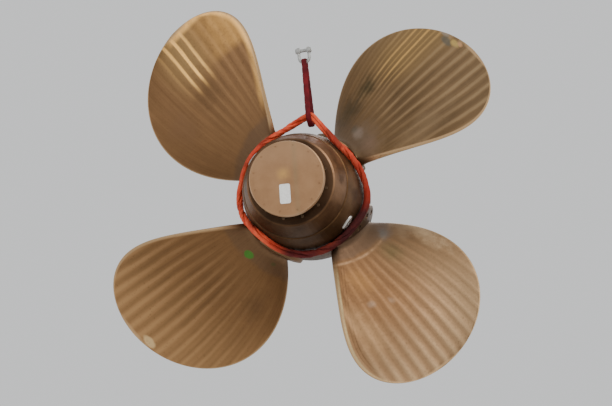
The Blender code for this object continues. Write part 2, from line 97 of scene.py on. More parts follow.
camera_data = bpy.data.cameras.new("camera")
camera_data.lens = CAMERA_LENS
camera = put("camera", camera_data)
camera.matrix_world = (Matrix.Translation(CAMERA_PLACE)
                       @ Matrix.Rotation(CAMERA_YAW, 4, 'Z')
                       @ Matrix.Rotation(radians(90) + CAMERA_PITCH, 4, 'X')
                       @ Matrix.Rotation(CAMERA_ROLL, 4, 'Z'))
bpy.context.scene.camera = camera

# Shaft flange: a forged and turned steel disc at the hub's forward end. Its flat face, drilled and
# tapped for the tail shaft's bolts and dowels, lies at the origin, with the bore for the oil pipes.
FLANGE_RADIUS = 0.4
FLANGE_THICKNESS = 0.1197
FLANGE_EDGE = 0.01
FLANGE_BOLT_CIRCLE = 0.325
FLANGE_BOLTS = 12
FLANGE_DOWELS = 2
FLANGE_BOLT_HOLE = (0.024, 0.085)  # radius and depth, as for the other holes
FLANGE_DOWEL_HOLE = (0.017, 0.06)
FLANGE_BORE = (0.115, 0.075)
DISC_STEPS = 128


class Flow:
    """A value, colour or vector on its way through a material's nodes. Adding or multiplying two adds a
    node that does so."""

    def __init__(self, tree, socket=None):
        self.tree = tree
        self.socket = socket

    def feed(self, node, sockets):
        """Links a node's sockets to flows, or sets them to values."""
        for name, value in sockets.items():
            if isinstance(value, Flow):
                self.tree.links.new(value.socket, node.inputs[name])
            else:
                node.inputs[name].default_value = value

    def node(self, kind, sockets=None, out=0, **settings):
        """Any node: its settings first, then the values and links of its sockets."""
        made = self.tree.nodes.new(kind)
        for name, value in settings.items():
            setattr(made, name, value)
        self.feed(made, sockets or {})
        return Flow(self.tree, made.outputs[out])

    def sum_of(self, operation, first, second):
        return self.node("ShaderNodeMath", {0: first, 1: second}, operation=operation)

    def __add__(self, other):
        return self.sum_of('ADD', self, other)

    def __radd__(self, other):
        return self.sum_of('ADD', other, self)

    def __sub__(self, other):
        return self.sum_of('SUBTRACT', self, other)

    def __rsub__(self, other):
        return self.sum_of('SUBTRACT', other, self)

    def __mul__(self, other):
        return self.sum_of('MULTIPLY', self, other)

    def __rmul__(self, other):
        return self.sum_of('MULTIPLY', other, self)

    def __truediv__(self, other):
        return self.sum_of('DIVIDE', self, other)

    def __pow__(self, other):
        return self.sum_of('POWER', self, other)

    def apply(self, operation):
        """One operation on one value, such as a sine or a fraction."""
        return self.node("ShaderNodeMath", {0: self}, operation=operation)

    def rise(self, low, high):
        """A smooth step from 0 at the first value to 1 at the second."""
        return self.node("ShaderNodeMapRange", {"Value": self, "From Min": low, "From Max": high},
                         interpolation_type='SMOOTHSTEP')

    def hump(self, centre, half):
        """1 at the centre, fading to 0 at this distance on each side."""
        return 1.0 - (self - centre).apply('ABSOLUTE').rise(0.0, half)

    def cap(self):
        return self.node("ShaderNodeClamp", {"Value": self})

    def waves(self, closeness):
        """Even waves between 0 and 1, such as a cutting tool or yarn leaves."""
        return (self * closeness).apply('SINE') * 0.5 + 0.5

    def tint(self, plain, covered):
        """The plain colour where this mask is 0, the other where it is 1."""
        first, second = [c if isinstance(c, Flow) else (*c, 1.0) for c in (plain, covered)]
        return self.node("ShaderNodeMix", {0: self, 6: first, 7: second}, out=2, data_type='RGBA')

    def along(self, x, y, z):
        """This vector stretched by a factor along each axis."""
        return self.node("ShaderNodeVectorMath", {0: self, 1: (x, y, z)}, operation='MULTIPLY')

    def axis(self, index):
        return self.node("ShaderNodeSeparateXYZ", {0: self}, out=index)

    def grain(self, scale, detail=4.0, roughness=0.55):
        """Soft noise between 0 and 1, so many features to a metre."""
        return self.node("ShaderNodeTexNoise", {"Vector": self, "Scale": scale, "Detail": detail,
                                                "Roughness": roughness})

    def off_shaft(self):
        """Metres from the shaft's axis."""
        return (self.axis(0) ** 2.0 + self.axis(2) ** 2.0) ** 0.5


def start_finish(name):
    """A new material, with its object coordinates as the first flow."""
    material = bpy.data.materials.new(name)
    material.use_nodes = True
    flow = Flow(material.node_tree)
    return material, flow.node("ShaderNodeTexCoord", out="Object")


def end_finish(material, colour, roughness, metallic, height, depth):
    """Feeds the Principled shader; height from 0 to 1 becomes bumps of this depth in metres."""
    bump = height.node("ShaderNodeBump", {"Height": height, "Distance": depth, "Strength": 1.0})
    bump.feed(material.node_tree.nodes["Principled BSDF"],
              {"Base Color": colour, "Roughness": roughness, "Metallic": metallic, "Normal": bump})
    return material


def paint_over(name, material):
    """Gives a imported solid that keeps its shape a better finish."""
    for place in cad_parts[name].material_slots:
        place.material = material


def show(name, mesh, material, body, matrix=Matrix()):
    """Puts a piece of the propeller in its place and says what it rides on."""
    mesh.transform(matrix)
    item = put(name, mesh)
    mesh.materials.clear()
    mesh.materials.append(material)
    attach(item, body)
    return item


def smooth(mesh, sharp=30.0):
    """Smooth shading that breaks at edges sharper than this many degrees."""
    mesh.shade_smooth()
    mesh.set_sharp_from_angle(angle=radians(sharp))
    return mesh


def close_mesh(bm, name, sharp=30.0):
    bmesh.ops.recalc_face_normals(bm, faces=bm.faces)
    mesh = bpy.data.meshes.new(name)
    bm.to_mesh(mesh)
    bm.free()
    return smooth(mesh, sharp)


def round_turn(steps):
    return [tau * i / steps for i in range(steps)]


def join_rings(bm, rings):
    for first, second in zip(rings, rings[1:]):
        count = len(first)
        for i in range(count):
            j = (i + 1) % count
            bm.faces.new((first[i], first[j], second[j], second[i]))


def join_and_end(bm, rings):
    """A closed solid through rings of points, with flat ends."""
    join_rings(bm, rings)
    bm.faces.new(rings[0])
    bm.faces.new(rings[-1])


def turn_on_shaft(profile):
    """A closed solid turned round the shaft from (radius, y) points, front to back, with flat ends."""
    bm = bmesh.new()
    join_and_end(bm, [[bm.verts.new((radius * sin(a), y, radius * cos(a)))
                       for a in round_turn(DISC_STEPS)] for radius, y in profile])
    return bm


def circle_places(count, start, radius, y, facing):
    """Matrices spaced evenly on a circle round the shaft. The first lies this share of a space on."""
    return [Matrix.Rotation(tau * (i + start) / count, 4, 'Y')
            @ Matrix.Translation((0.0, y, radius)) @ facing for i in range(count)]


def drill(bm, holes, reach=0.02, steps=32):
    """Cuts round holes: each is a matrix whose +Z points out of the material, a radius and a depth. The
    drill reaches this far out."""
    drills = bmesh.new()
    for place, radius, depth in holes:
        middle = place @ Matrix.Translation((0.0, 0.0, (reach - depth) / 2))
        bmesh.ops.create_cone(drills, cap_ends=True, segments=steps, radius1=radius, radius2=radius,
                              depth=depth + reach, matrix=middle)
    solid = put("solid", close_mesh(bm, "solid"))
    cutter = put("drills", close_mesh(drills, "drills"))
    boolean = solid.modifiers.new("drilling", 'BOOLEAN')
    boolean.solver = 'EXACT'
    boolean.object = cutter
    graph = bpy.context.evaluated_depsgraph_get()
    mesh = bpy.data.meshes.new_from_object(solid.evaluated_get(graph))
    for item in (solid, cutter):
        bpy.data.objects.remove(item, do_unlink=True)
    return smooth(mesh)


def flange_finish():
    material, place = start_finish("flange_steel")
    turning = place.off_shaft().waves(900.0)
    cloud = place.grain(7.0)
    film = place.grain(31.0, 6.0).rise(0.5, 0.72)
    steel = cloud.rise(0.3, 0.7).tint((0.2, 0.185, 0.17), (0.3, 0.285, 0.265))
    stained = (film * 0.6).tint(steel, (0.16, 0.085, 0.045))
    rough = 0.32 + 0.2 * cloud + 0.2 * film
    return end_finish(material, stained, rough, 0.9 - 0.4 * film, turning * 0.4 + film * 0.6, 0.0004)


flange_solid = turn_on_shaft([
    (FLANGE_RADIUS - FLANGE_EDGE, 0.0),
    (FLANGE_RADIUS, -FLANGE_EDGE),
    (FLANGE_RADIUS, -FLANGE_THICKNESS + FLANGE_EDGE),
    (FLANGE_RADIUS - FLANGE_EDGE, -FLANGE_THICKNESS),
])
face_forward = Matrix.Rotation(radians(-90), 4, 'X')
flange_holes = [(face_forward, *FLANGE_BORE)]
for count, start, hole in ((FLANGE_BOLTS, 0.0, FLANGE_BOLT_HOLE),
                           (FLANGE_DOWELS, 1.0 / FLANGE_BOLTS, FLANGE_DOWEL_HOLE)):
    for place in circle_places(count, start, FLANGE_BOLT_CIRCLE, 0.0, face_forward):
        flange_holes.append((place, *hole))
flange = show("flange_forging", drill(flange_solid, flange_holes), flange_finish(), "hub")
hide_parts("shaft_flange")

# Hub body: the big barrel-shaped casting of nickel-aluminium bronze that carries the blades. It is
# turned outside and has gone dark brown, lighter where slings and tools have rubbed it.
HUB_RADIUS = 0.512
HUB_CREST_AFT = 0.05
HUB_CROWN_RADIUS = 1.58
SPINDLE_SETBACK = 0.6


def barrel(aft):
    """Radius of the hub this far aft of the plane of the blade spindles."""
    return HUB_RADIUS - (aft - HUB_CREST_AFT) ** 2 / (2 * HUB_CROWN_RADIUS)


def hub_finish():
    material, place = start_finish("hub_bronze")
    aft = -1.0 * place.axis(1) - SPINDLE_SETBACK
    cloud = place.grain(5.0, 5.0)
    speck = place.grain(38.0, 7.0, 0.65)
    tool = aft.waves(700.0)
    bronze = cloud.rise(0.3, 0.72).tint((0.082, 0.04, 0.017), (0.195, 0.103, 0.047))
    wear_and_painted_light = speck.rise(0.52, 0.75) * cloud.rise(0.35, 0.6)
    colour = (wear_and_painted_light * 0.65).tint(bronze, (0.26, 0.16, 0.09))
    green = place.grain(11.0, 5.0).rise(0.62, 0.74)
    colour = (green * 0.35).tint(colour, (0.085, 0.09, 0.05))
    # Painted shade: the hub's colour darkens towards the bottom, where it lies in shade.
    painted_underside_shade = (1.0 - place.axis(2).rise(-0.42, -0.08)) * 0.75
    with_underside_shade = painted_underside_shade.tint(colour, (0.042, 0.019, 0.007))
    rough = 0.4 + 0.28 * speck
    return end_finish(material, with_underside_shade, rough, 0.95 - 0.35 * green, tool * 0.25 + speck * 0.75, 0.0012)


paint_over("hub_body", hub_finish())

# Port rings: turned bronze rings pressed into the four ports to line them. Each shows as a narrow
# step round the blade's foot, painted nearly black as the shade in the gap there.


def speckled_finish(name, scale, detail, dark, light, rough, metallic, depth, full=0.7, rougher=0.3):
    """A small part's finish, mottled between two colours and rougher where it is light."""
    material, place = start_finish(name)
    speck = place.grain(scale, detail)
    mottled = speck.rise(0.35, full).tint(dark, light)
    return end_finish(material, mottled, rough + rougher * speck, metallic, speck, depth)


# Painted shade: the rings are coloured nearly black for the shaded gap round each blade's foot.
port_ring_painted_shade = speckled_finish("ring_bronze", 45.0, 6.0, (0.036, 0.022, 0.014), (0.11, 0.068, 0.04),
                                   0.34, 0.8, 0.0006)
for number in range(1, 5):
    paint_over(f"port_ring_{number}", port_ring_painted_shade)

# Blades: four castings of nickel-aluminium bronze, each an aerofoil on a round foot that turns in its
# port. The cutter left shallow ridges that run out from the root to the rim and fan a little; the root
# is ground plain. The foot is held to the crank disc under it by socket screws in counterbores.
BLADE_ANGLES = [50.7, 140.7, 230.7, 320.7]
TIP_RADIUS = 1.7987
PORT_FLOOR = 0.417
PALM_RADIUS = 0.2482
PALM_PROUD = 0.03
PALM_EDGE = 0.01
PALM_STEPS = 96
ROOT_RADIUS = 0.525
ROOT_CHORD = 0.495
OUTER_CHORD = 1.458
CHORD_POWER = 0.828
TIP_POWER = 3.6
ROOT_OFFSET = 0.105
TIP_SKEW = 0.433
ROOT_PITCH = 3.114
TIP_PITCH = 4.03
MID_RAKE = 0.222
TIP_RAKE = 0.112
ROOT_THICKNESS = 0.161
TIP_THICKNESS = 0.014
THICKNESS_POWER = 1.1
THICKEST_SHARE = 0.3
CAMBER_SHARE = 0.022
ROOT_FILLET = 0.065
FILLET_SHARES = (0.0, 0.06, 0.13, 0.22, 0.33, 0.46, 0.62, 0.8)
RIDGE_SPACING = 0.101
RIDGE_SQUEEZE = 0.45
RIDGE_HEIGHT = 0.0026
RIDGE_LINE = (-0.171, -0.051, -0.171)  # where ridge 0 lies along the section, by powers of the span
RIDGE_RUN_IN = (0.1, 0.34)  # shares of the span between which the ridges deepen
RIM_LAND = (0.012, 0.045)  # metres from the rim between which they do
RIDGE_FADE = (2.0, 6.0)  # ridge numbers between which they lose the next share of their height
RIDGE_LOSS = 0.6
BACK_SHIFT = 10.0
EDGE_POINTS = 10
CHORD_POINTS = 130
BLADE_ROWS = 60
PALM_TOP_SHARES = (1.0, 0.9, 0.8, 0.65, 0.5, 0.35, 0.18)
PALM_SCREW_CIRCLE = 0.2
PALM_SCREW_TURNS = (0, 47, 88, 128, -128, -88, -47)
PALM_BORE = (0.03, 0.034)
PALM_HEAD = (0.0268, 0.028, 0.0135)  # head radius, head height and key radius, as for the other screws
PALM_HEAD_SINK = 0.036
SEAT_GAP = 0.0003


def chord(t):
    return sqrt(max(0.0, 1.0 - t ** TIP_POWER)) * (ROOT_CHORD + OUTER_CHORD * t ** CHORD_POWER)


def thickness(t):
    plain = TIP_THICKNESS + (ROOT_THICKNESS - TIP_THICKNESS) * (1.0 - t) ** THICKNESS_POWER
    return min(plain, THICKEST_SHARE * chord(t))


def root_flare(height):
    rest = max(0.0, ROOT_FILLET - height)
    return ROOT_FILLET - sqrt(ROOT_FILLET ** 2 - rest ** 2)


def chord_place(t, along):
    """Metres from the spindle axis along the section, positive towards the leading edge."""
    return chord(t) * (along - 0.5) - ROOT_OFFSET - TIP_SKEW * t * t


def ridge_number(t, along):
    """Counts the ridges across the blade: a whole number lies on a crest."""
    middle = RIDGE_LINE[0] + RIDGE_LINE[1] * t + RIDGE_LINE[2] * t * t
    return (chord_place(t, along) - middle) / (RIDGE_SPACING * (1.0 - RIDGE_SQUEEZE * (1.0 - t) ** 2))


def rim_distance(t, along):
    return min(min(along, 1.0 - along) * chord(t), (1.0 - t) * (TIP_RADIUS - ROOT_RADIUS))


def smooth_step(value, low, high):
    share = min(1.0, max(0.0, (value - low) / (high - low)))
    return share * share * (3.0 - 2.0 * share)


def groove_at(t, along):
    """How deep the cutter went here: nothing on a crest, at the root or on the land round the rim."""
    number = ridge_number(t, along)
    groove = 0.5 - 0.5 * cos(tau * number)
    reach = smooth_step(t, *RIDGE_RUN_IN) * smooth_step(rim_distance(t, along), *RIM_LAND)
    return RIDGE_HEIGHT * groove * reach * (1.0 - RIDGE_LOSS * smooth_step(number, *RIDGE_FADE))


def section_point(t, along, side):
    """A point of the blade: along runs 0 at the trailing edge to 1 at the leading edge, side is -1 on
    the face, which looks aft, and +1 on the back."""
    radius = ROOT_RADIUS + (TIP_RADIUS - ROOT_RADIUS) * t
    pitch = ROOT_PITCH + (TIP_PITCH - ROOT_PITCH) * t
    beta = atan(pitch / (tau * radius))
    u = chord_place(t, along)
    swell = 2.0 * sqrt(max(0.0, along * (1.0 - along)))
    half = (thickness(t) / 2 + root_flare(radius - ROOT_RADIUS)) * swell
    half = max(half * 0.5, half - groove_at(t, along))
    lift = CAMBER_SHARE * chord(t) * 4.0 * along * (1.0 - along) + side * half
    across = u * cos(beta) - lift * sin(beta)
    forward = u * sin(beta) + lift * cos(beta) - (MID_RAKE * t - TIP_RAKE * t * t)
    angle = across / radius
    return (-radius * sin(angle), forward, radius * cos(angle))


def chord_places():
    """Shares of the chord: even in the middle, crowded together round the two edges."""
    step = 1.0 / CHORD_POINTS
    edge = [(i / EDGE_POINTS) ** 2 * 4 * step for i in range(EDGE_POINTS)]
    middle = [i * step for i in range(4, CHORD_POINTS - 3)]
    return edge + middle + [1.0 - share for share in reversed(edge)]


def span_places():
    start = ROOT_FILLET / (TIP_RADIUS - ROOT_RADIUS)
    rest = [start + (1.0 - start) * sin(pi / 2 * i / BLADE_ROWS) for i in range(BLADE_ROWS)]
    return [start * share for share in FILLET_SHARES] + rest


def fan(bm, ring, tip):
    for i, vert in enumerate(ring):
        bm.faces.new((vert, ring[(i + 1) % len(ring)], tip))


def aerofoil():
    """The wing of a blade, with two maps: the ridge's number and the share of the span, and the metres
    to the rim and from the spindle axis, with BACK_SHIFT added to the latter on the back."""
    bm = bmesh.new()
    there = chord_places()
    loop = [(along, -1) for along in there] + [(along, 1) for along in reversed(there[1:-1])]
    rows = span_places()
    rings = [[bm.verts.new(section_point(t, along, side)) for along, side in loop] for t in rows]
    join_rings(bm, rings)
    tip = bm.verts.new(section_point(1.0, 0.5, 0))
    fan(bm, rings[-1], tip)
    root = rings[0]
    count = len(root)
    bm.faces.new((root[0], root[1], root[-1]))
    for i in range(1, count // 2 - 1):
        bm.faces.new((root[i], root[i + 1], root[count - i - 1], root[count - i]))
    bm.faces.new((root[count // 2 - 1], root[count // 2], root[count // 2 + 1]))
    shares = {vert: (along, t, BACK_SHIFT if side > 0 else 0.0)
              for row, t in zip(rings, rows) for vert, (along, side) in zip(row, loop)}
    shares[tip] = (0.5, 1.0, 0.0)
    ridge_map = bm.loops.layers.uv.new("ridge_map")
    rim_map = bm.loops.layers.uv.new("rim_map")
    for face in bm.faces:
        for corner in face.loops:
            along, t, shift = shares[corner.vert]
            corner[ridge_map].uv = (ridge_number(t, along), t)
            corner[rim_map].uv = (rim_distance(t, along), chord_place(t, along) + shift)
    return bm


def over_hub(x, y, proud):
    """Height of a face that follows the hub, in a frame whose +Z points outwards and +Y forward."""
    radius = barrel(-y) + proud
    return sqrt(radius * radius - x * x)


def palm_disc():
    """The foot of a blade: a flat floor, and a rounded edge and top that follow the hub."""
    bm = bmesh.new()

    def ring(radius, proud):
        points = [(radius * cos(a), radius * sin(a)) for a in round_turn(PALM_STEPS)]
        floor = PORT_FLOOR + SEAT_GAP
        return [bm.verts.new((x, y, floor if proud is None else over_hub(x, y, proud))) for x, y in points]

    rings = [ring(PALM_RADIUS, None), ring(PALM_RADIUS, PALM_PROUD - PALM_EDGE),
             ring(PALM_RADIUS - PALM_EDGE * 0.3, PALM_PROUD - PALM_EDGE * 0.3)]
    rings += [ring((PALM_RADIUS - PALM_EDGE) * share, PALM_PROUD) for share in PALM_TOP_SHARES]
    join_rings(bm, rings)
    bm.faces.new(rings[0])
    fan(bm, rings[-1], bm.verts.new((0.0, 0.0, over_hub(0.0, 0.0, PALM_PROUD))))
    return bm


def palm_screw_places():
    """Matrices on the palm's top face, one at each screw; the first lies off the leading edge."""
    beta = atan(ROOT_PITCH / (tau * ROOT_RADIUS))
    places = []
    for turn in PALM_SCREW_TURNS:
        around = radians(180) - beta + radians(turn)
        x = PALM_SCREW_CIRCLE * cos(around)
        y = PALM_SCREW_CIRCLE * sin(around)
        places.append(Matrix.Translation((x, y, over_hub(x, y, PALM_PROUD))))
    return places


def socket_screw(bm, place, radius, height, key, steps=24):
    """A cap screw's head on +Z, with a hexagon socket sunk in its top."""
    def outline(size, level, corners=0.0):
        ring = []
        for a in round_turn(steps):
            flat = 1.0 / cos((a + pi / 6) % (pi / 3) - pi / 6)
            reach = size * (1.0 + corners * (flat - 1.0))
            ring.append(bm.verts.new(place @ Vector((reach * cos(a), reach * sin(a), level))))
        return ring

    bevel = radius * 0.1
    join_and_end(bm, [outline(radius, 0.0), outline(radius, height - bevel),
                      outline(radius - bevel, height), outline(key * 1.12, height),
                      outline(key, height - key * 0.12, 1.0), outline(key, height - key * 1.1, 1.0)])


def blade_finish(name, light, dark, crest_highlight_colour, film, contrast, fade, doubled, edge_shine, root_tone,
                 marks, root_edge=0.15, run_in=0.3, painted_glint=None, border=0.0, bend=0.0, corner=0.0,
                 narrow=0.0, lines=0.0, tip_glow=0.0, tip_colour=None, beige=0.0):
    """Ground bronze: crests lightened as a painted highlight and brown grooves, some stronger than others,
    a bright rim, and a plain brown root zone whose border lies at this share of the span and bends in at
    both edges. The ridges fade between two ridge numbers, and there are more of them towards the leading
    edge. Golden streaks of painted highlight on the crests are given by the middle ridge, the ridges to
    each side, the share of the span where they start and their strength; corner is the strength of a
    painted patch of light on the outer trailing part and a painted highlight along the trailing edge;
    lines are the scribed strips along the trailing edge. A mark is a ragged oval: its middle along the
    section and from the shaft and its half sizes, in metres, then its colour, strength and blur, from 0.3
    for paint to 1 for a stain."""
    material, place = start_finish(name)
    ridge_place = place.node("ShaderNodeUVMap", uv_map="ridge_map")
    rim_place = place.node("ShaderNodeUVMap", uv_map="rim_map")
    number = ridge_place.axis(0)
    span = ridge_place.axis(1)
    rim = rim_place.axis(0)
    along = rim_place.axis(1)
    radius = span * (TIP_RADIUS - ROOT_RADIUS) + ROOT_RADIUS
    cloud = place.grain(2.6, 4.0)
    blotch = place.grain(9.0, 4.0, 0.6)
    speck = place.grain(55.0, 6.0, 0.6)
    ridge_frame = place.node("ShaderNodeCombineXYZ", {0: number * 7.0, 1: span * 2.4, 2: cloud * 0.6})
    scratch = ridge_frame.grain(1.0, 6.0, 0.62)
    fine = ridge_frame.along(6.0, 1.6, 1.0).grain(1.0, 4.0, 0.6)
    uneven = ridge_frame.along(0.12, 0.9, 1.0).grain(1.0, 3.0).rise(0.36, 0.64)
    wander = number + (cloud - 0.5) * 0.3 + (fine - 0.5) * 0.14
    single = (wander * tau).apply('COSINE')
    double = (wander * tau * 2.0 + 0.6).apply('COSINE')
    share = number.rise(0.6, 2.4) * doubled * 0.8 + doubled * 0.2
    wave = single * (1.0 - share) + double * share
    crest = wave * 0.5 + 0.5
    height = span + ((number - 2.3) ** 2.0) * bend
    cut = (height + (blotch - 0.5) * 0.09).rise(root_edge, root_edge + run_in)
    trailing = 1.0 - number.rise(-1.5, 0.0)
    body = (cloud.rise(0.28, 0.72) * 0.4 + scratch.rise(0.3, 0.7) * 0.35 + blotch * 0.25).tint(dark, light)
    if beige:
        body = (number.rise(-1.5, 4.5) * beige).tint(body, (0.19, 0.115, 0.058))
    depth = cut * (0.25 + 0.45 * uneven + 0.3 * span.rise(0.25, 0.8)) * contrast
    depth = depth * (0.25 + 0.75 * number.rise(*fade))
    # Painted highlight: the crests are lightened as where the ridges' slopes face the light.
    lit = (crest.rise(0.45, 1.0) * depth * (0.35 + 0.5 * scratch)).cap().tint(body, crest_highlight_colour)
    sunk = ((1.0 - crest).rise(0.55 + narrow, 1.0) * depth * (0.2 + 0.6 * fine)).cap().tint(lit, film)
    zone = 1.0 - (height + (blotch - 0.5) * 0.05).rise(root_edge - 0.03, root_edge + 0.012)
    colour = (zone * root_tone).tint(sunk, (0.112, 0.07, 0.044))
    if border:
        ring = height.hump(root_edge + 0.014, 0.016) * blotch.rise(0.25, 0.6) * border
        colour = ring.tint(colour, (0.36, 0.22, 0.12))
    if tip_glow:
        colour = (span.rise(0.4, 1.0) * tip_glow * (0.25 + 0.45 * crest + 0.3 * cloud)).tint(
            colour, tip_colour)
    # Painted highlight: a golden glow and bright streaks along a few crests.
    if painted_glint:
        middle, beside, start, strength = painted_glint
        glow = span.rise(start, start + 0.3) * number.hump(middle, beside * 1.7) * 0.6
        colour = glow.tint(colour, (0.33, 0.205, 0.078))
        glint_streak = wave.rise(0.15, 0.95) * span.rise(start, start + 0.2) * number.hump(middle, beside)
        colour = (glint_streak * strength).cap().tint(colour, (0.97, 0.54, 0.15))
    # Painted light: a golden patch of light on the outer trailing part, and a painted highlight along the
    # trailing edge.
    if corner:
        painted_light_patch = number.hump(-6.0, 4.6) * span.rise(0.61, 0.69) * (0.55 + 0.45 * blotch.rise(0.3, 0.6))
        edge = (1.0 - rim.rise(0.03, 0.085)) * trailing * span.rise(0.16, 0.3)
        colour = ((painted_light_patch * 0.8).cap() * corner).tint(colour, (0.54, 0.285, 0.08))
        colour = (edge * (0.5 + 0.5 * span.rise(0.5, 0.65)) * corner).tint(colour, (0.97, 0.54, 0.165))
    if lines:
        scribed = ((rim + (cloud - 0.5) * 0.01) * 251.0).apply('SINE').rise(0.35, 0.95)
        line = scribed * rim.hump(0.072, 0.05) * trailing * cut * blotch.rise(0.3, 0.5)
        colour = (line * span.rise(0.85, 0.7) * lines * 0.75).tint(colour, film)
        pale = (1.0 - rim.rise(0.022, 0.038)) * trailing * cut * span.hump(0.45, 0.62)
        colour = (pale * lines).tint(colour, (0.37, 0.3, 0.155))
    for middle_along, middle_radius, half_along, half_radius, tone, strength, blur in marks:
        x = (along - middle_along) / half_along
        y = (radius - middle_radius) / half_radius
        reach = (x * x + y * y) ** 0.5 + (blotch - 0.5) * 1.2
        colour = ((1.0 - reach.rise(1.05 - blur, 1.05)) * strength).tint(colour, tone)
    shine = (1.0 - rim.rise(0.015, 0.031)) * trailing * span.rise(0.02, 0.12) * edge_shine
    edged = shine.tint(colour, (0.62, 0.395, 0.205))
    land = (1.0 - rim.rise(0.009, 0.019)) * span.rise(0.1, 0.16)
    rimmed = (land * 0.8).tint(edged, (0.47, 0.3, 0.15))
    spotted = (speck.rise(0.56, 0.76) * 0.35).tint(rimmed, film)
    rough = 0.33 + 0.2 * cloud + 0.14 * speck - 0.05 * crest
    return end_finish(material, spotted, rough, 0.85, speck * 0.4 + scratch * 0.4 + fine * 0.2, 0.0009)


blade_looks = [
    dict(light=(0.245, 0.145, 0.066), dark=(0.12, 0.07, 0.032), crest_highlight_colour=(0.42, 0.275, 0.14),
         film=(0.07, 0.041, 0.02), root_edge=0.16, run_in=0.26, root_tone=0.35, contrast=1.1,
         fade=(6.2, 4.2), doubled=0.75, edge_shine=0.9, painted_glint=(3.2, 2.2, 0.42, 0.5), tip_glow=0.4,
         tip_colour=(0.42, 0.285, 0.155), marks=[
             (-0.22, 1.755, 0.07, 0.022, (0.34, 0.27, 0.2), 0.8, 0.6),
             (-0.27, 1.715, 0.075, 0.042, (0.135, 0.125, 0.095), 0.8, 0.6),
             (-0.35, 1.74, 0.07, 0.036, (0.55, 0.38, 0.125), 0.9, 0.6),
             (-0.4, 1.76, 0.045, 0.026, (0.62, 0.34, 0.165), 0.8, 0.6),
             (0.14, 1.05, 0.11, 0.17, (0.045, 0.038, 0.016), 0.75, 1.0),
             (0.14, 0.82, 0.16, 0.2, (0.055, 0.042, 0.02), 0.65, 1.0),
             (-0.64, 1.15, 0.2, 0.5, (0.29, 0.19, 0.1), 0.5, 1.0),
             # Painted light: this lighter mark lifts the sling's shadow on the root.
             (-0.42, 0.64, 0.15, 0.16, (0.28, 0.18, 0.095), 0.6, 1.0),
             (-0.22, 0.69, 0.26, 0.18, (0.215, 0.145, 0.092), 0.65, 1.0),
             (-0.33, 0.68, 0.12, 0.1, (0.25, 0.155, 0.098), 0.6, 1.0),
             (-0.12, 0.67, 0.1, 0.07, (0.3, 0.225, 0.17), 0.7, 0.8),
             (-0.05, 0.68, 0.06, 0.05, (0.1, 0.085, 0.055), 0.5, 0.9)]),
    dict(light=(0.235, 0.122, 0.052), dark=(0.145, 0.074, 0.031), crest_highlight_colour=(0.285, 0.155, 0.068),
         film=(0.08, 0.04, 0.017), root_tone=0.5, contrast=0.6, fade=(3.0, 0.4), doubled=0.3,
         edge_shine=0.8, painted_glint=(-0.9, 2.2, 0.53, 1.3), corner=0.9, marks=[
             (0.1, 1.25, 0.2, 0.25, (0.19, 0.1, 0.048), 0.5, 1.0),
             (-0.3, 1.2, 0.22, 0.16, (0.105, 0.055, 0.023), 0.5, 1.0)]),
    dict(light=(0.23, 0.117, 0.047), dark=(0.14, 0.07, 0.028), crest_highlight_colour=(0.36, 0.205, 0.095),
         film=(0.075, 0.037, 0.015), root_tone=0.45, contrast=0.85, fade=(5.0, 1.0), doubled=0.45,
         edge_shine=0.5, tip_glow=0.95, tip_colour=(0.46, 0.26, 0.112), marks=[
             (-0.4, 1.75, 0.075, 0.035, (0.66, 0.45, 0.22), 0.9, 0.5),
             (-0.18, 0.67, 0.055, 0.036, (0.07, 0.19, 0.03), 1.0, 0.3),
             (0.05, 0.62, 0.03, 0.02, (0.08, 0.085, 0.03), 0.6, 0.6),
             (0.15, 1.0, 0.15, 0.2, (0.075, 0.038, 0.018), 0.35, 1.0)]),
    dict(light=(0.182, 0.091, 0.039), dark=(0.134, 0.066, 0.027), crest_highlight_colour=(0.232, 0.128, 0.062),
         film=(0.086, 0.043, 0.019), root_edge=0.138, run_in=0.09, root_tone=0.7, border=0.7,
         bend=0.001, contrast=0.85, fade=(-7.5, 1.5), doubled=0.35, narrow=0.16, edge_shine=0.3,
         lines=0.95, beige=0.9, tip_glow=0.9, tip_colour=(0.3, 0.2, 0.11), marks=[
             (-0.5, 1.08, 0.05, 0.04, (0.3, 0.22, 0.16), 0.35, 0.9),
             (-0.36, 1.13, 0.04, 0.05, (0.29, 0.195, 0.13), 0.3, 0.9),
             (-0.74, 1.22, 0.18, 0.4, (0.31, 0.185, 0.088), 0.6, 1.0),
             (0.36, 0.96, 0.13, 0.32, (0.52, 0.37, 0.22), 0.85, 1.0),
             # Painted light: this lighter mark lifts the shading where the root curves away from the
             # light.
             (0.25, 0.8, 0.12, 0.14, (0.32, 0.215, 0.125), 0.75, 1.0),
             (0.12, 0.69, 0.14, 0.11, (0.18, 0.13, 0.098), 0.7, 1.0),
             (0.09, 0.69, 0.07, 0.07, (0.15, 0.145, 0.13), 0.6, 0.9),
             (0.0, 0.85, 0.14, 0.13, (0.11, 0.08, 0.034), 0.65, 1.0),
             (-0.42, 0.86, 0.17, 0.17, (0.235, 0.116, 0.04), 0.6, 1.0)])]
wing_mesh = close_mesh(aerofoil(), "blade_wing", 60.0)
screw_places = palm_screw_places()
palm_mesh = drill(palm_disc(), [(place, *PALM_BORE) for place in screw_places], reach=0.05)
heads = bmesh.new()
for place in screw_places:
    socket_screw(heads, place @ Matrix.Translation((0.0, 0.0, -PALM_HEAD_SINK)), *PALM_HEAD)
heads_mesh = close_mesh(heads, "palm_screws")
screw_bronze = speckled_finish("screw_bronze", 120.0, 5.0, (0.1, 0.06, 0.033), (0.24, 0.155, 0.09),
                               0.36, 0.85, 0.0003)
